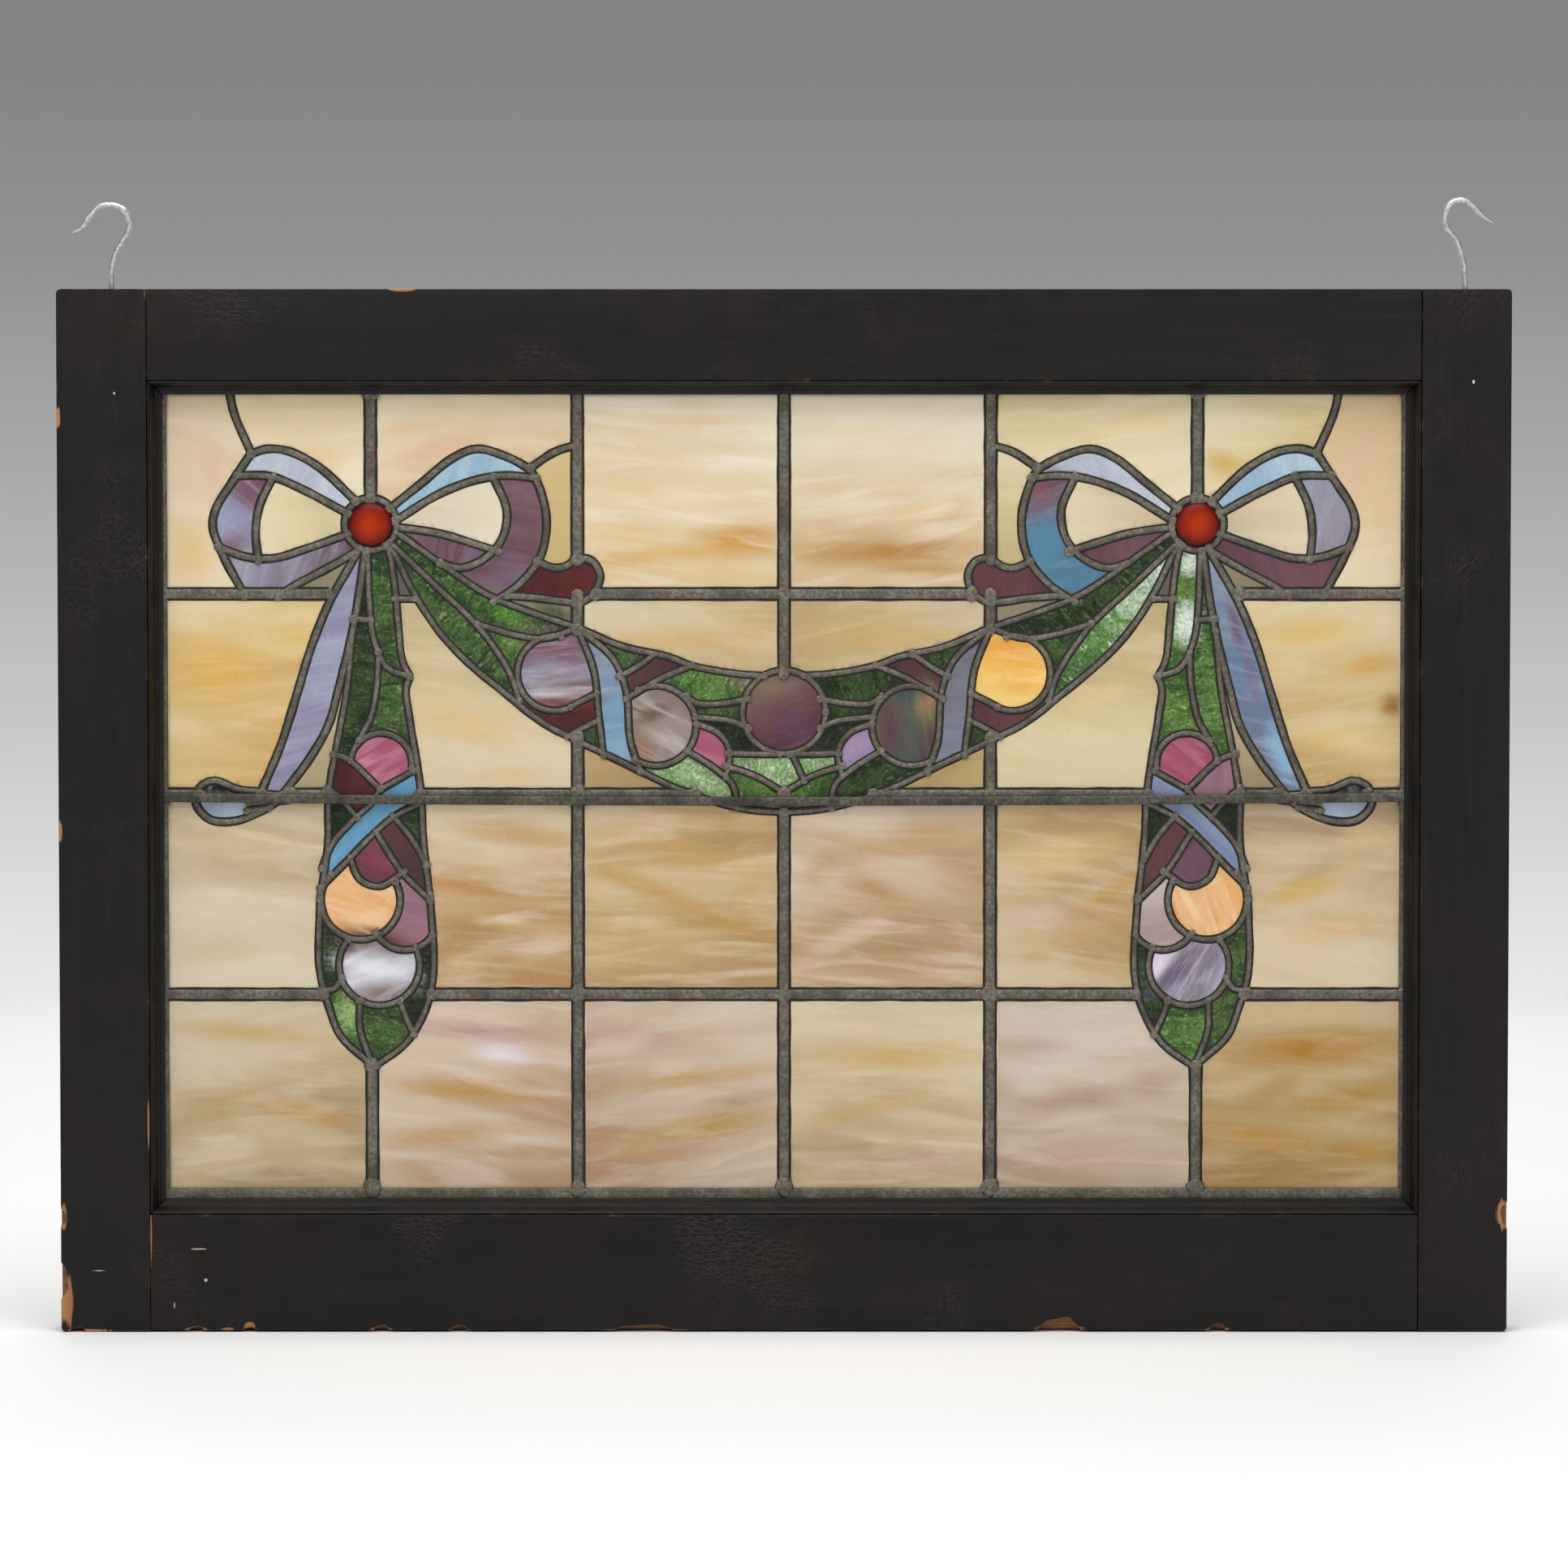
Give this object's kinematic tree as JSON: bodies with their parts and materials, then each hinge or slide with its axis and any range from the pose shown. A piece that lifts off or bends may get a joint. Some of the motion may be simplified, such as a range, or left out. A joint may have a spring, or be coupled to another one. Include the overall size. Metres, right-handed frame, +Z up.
{
  "type": "stained glass window",
  "caption": "Wide leaded window of opalescent glass, ribbon bows with swags of fruit and leaves over a rectangular grid, in a dark wooden sash with wire hanging hooks.",
  "frame": {"origin": "height at which the two hanging hooks bear, on the window's middle line, half way through the sash's thickness", "axes": "+X to the right as seen from the front, +Y from the front to the back, +Z up; the front faces -Y"},
  "size_m": [0.894, 0.035, 0.7002],
  "materials": {
    "sash_wood": "old near-black varnish, crazed, satin",
    "lead": "oxidised lead came, dull grey-olive",
    "iron_bar": "dull wrought bar",
    "hook_wire": "bright galvanised wire",
    "ruby_glass": "polished, domed",
    "amber_opal_glass": "streaky opalescent, cream and amber",
    "blue_opal_glass": "streaky opalescent, pale blue and lavender",
    "plum_glass": "streaky, plum and mauve"
  },
  "bodies": {
    "root": {"stile_left": "sash_wood", "stile_right": "sash_wood", "rail_top": "sash_wood", "rail_bottom": "sash_wood", "bead_top": "sash_wood", "bead_bottom": "sash_wood", "bead_left": "sash_wood", "bead_right": "sash_wood", "lead_lattice": "lead", "saddle_bar": "iron_bar", "hook_left": "hook_wire", "hook_right": "hook_wire", "jewel_left": "ruby_glass", "jewel_right": "ruby_glass", "pane_corner_left": "amber_opal_glass", "pane_corner_right": "amber_opal_glass", "pane_over_bow_left": "amber_opal_glass", "pane_over_bow_right": "amber_opal_glass", "pane_outer_eye_left": "amber_opal_glass", "pane_outer_eye_right": "amber_opal_glass", "pane_over_knot_left": "amber_opal_glass", "pane_over_knot_right": "amber_opal_glass", "pane_beside_bow_left": "amber_opal_glass", "pane_beside_bow_right": "amber_opal_glass", "pane_inner_eye_left": "amber_opal_glass", "pane_inner_eye_right": "amber_opal_glass", "pane_top_middle_left": "amber_opal_glass", "pane_top_middle_right": "amber_opal_glass", "pane_side_left": "amber_opal_glass", "pane_side_right": "amber_opal_glass", "pane_beside_drop_left": "amber_opal_glass", "pane_beside_drop_right": "amber_opal_glass", "pane_under_swag_left": "amber_opal_glass", "pane_under_swag_right": "amber_opal_glass", "pane_over_garland_left": "amber_opal_glass", "pane_over_garland_right": "amber_opal_glass", "pane_under_garland_left": "amber_opal_glass", "pane_under_garland_right": "amber_opal_glass", "pane_low_side_left": "amber_opal_glass", "pane_low_side_right": "amber_opal_glass", "pane_low_between_left": "amber_opal_glass", "pane_low_between_right": "amber_opal_glass", "pane_low_middle_left": "amber_opal_glass", "pane_low_middle_right": "amber_opal_glass", "pane_foot_side_left": "amber_opal_glass", "pane_foot_side_right": "amber_opal_glass", "pane_foot_between_left": "amber_opal_glass", "pane_foot_between_right": "amber_opal_glass", "pane_foot_middle_left": "amber_opal_glass", "pane_foot_middle_right": "amber_opal_glass", "ribbon_outer_turn_left": "blue_opal_glass", "ribbon_outer_turn_right": "plum_glass", "ribbon_inner_turn_left": "plum_glass", "ribbon_inner_turn_right": "blue_opal_glass", "ribbon_outer_fold_left": "plum_glass", "ribbon_outer_fold_right": "plum_glass", "ribbon_tail_left": "blue_opal_glass", "ribbon_tail_right": "blue_opal_glass"}
  },
  "joints": []
}
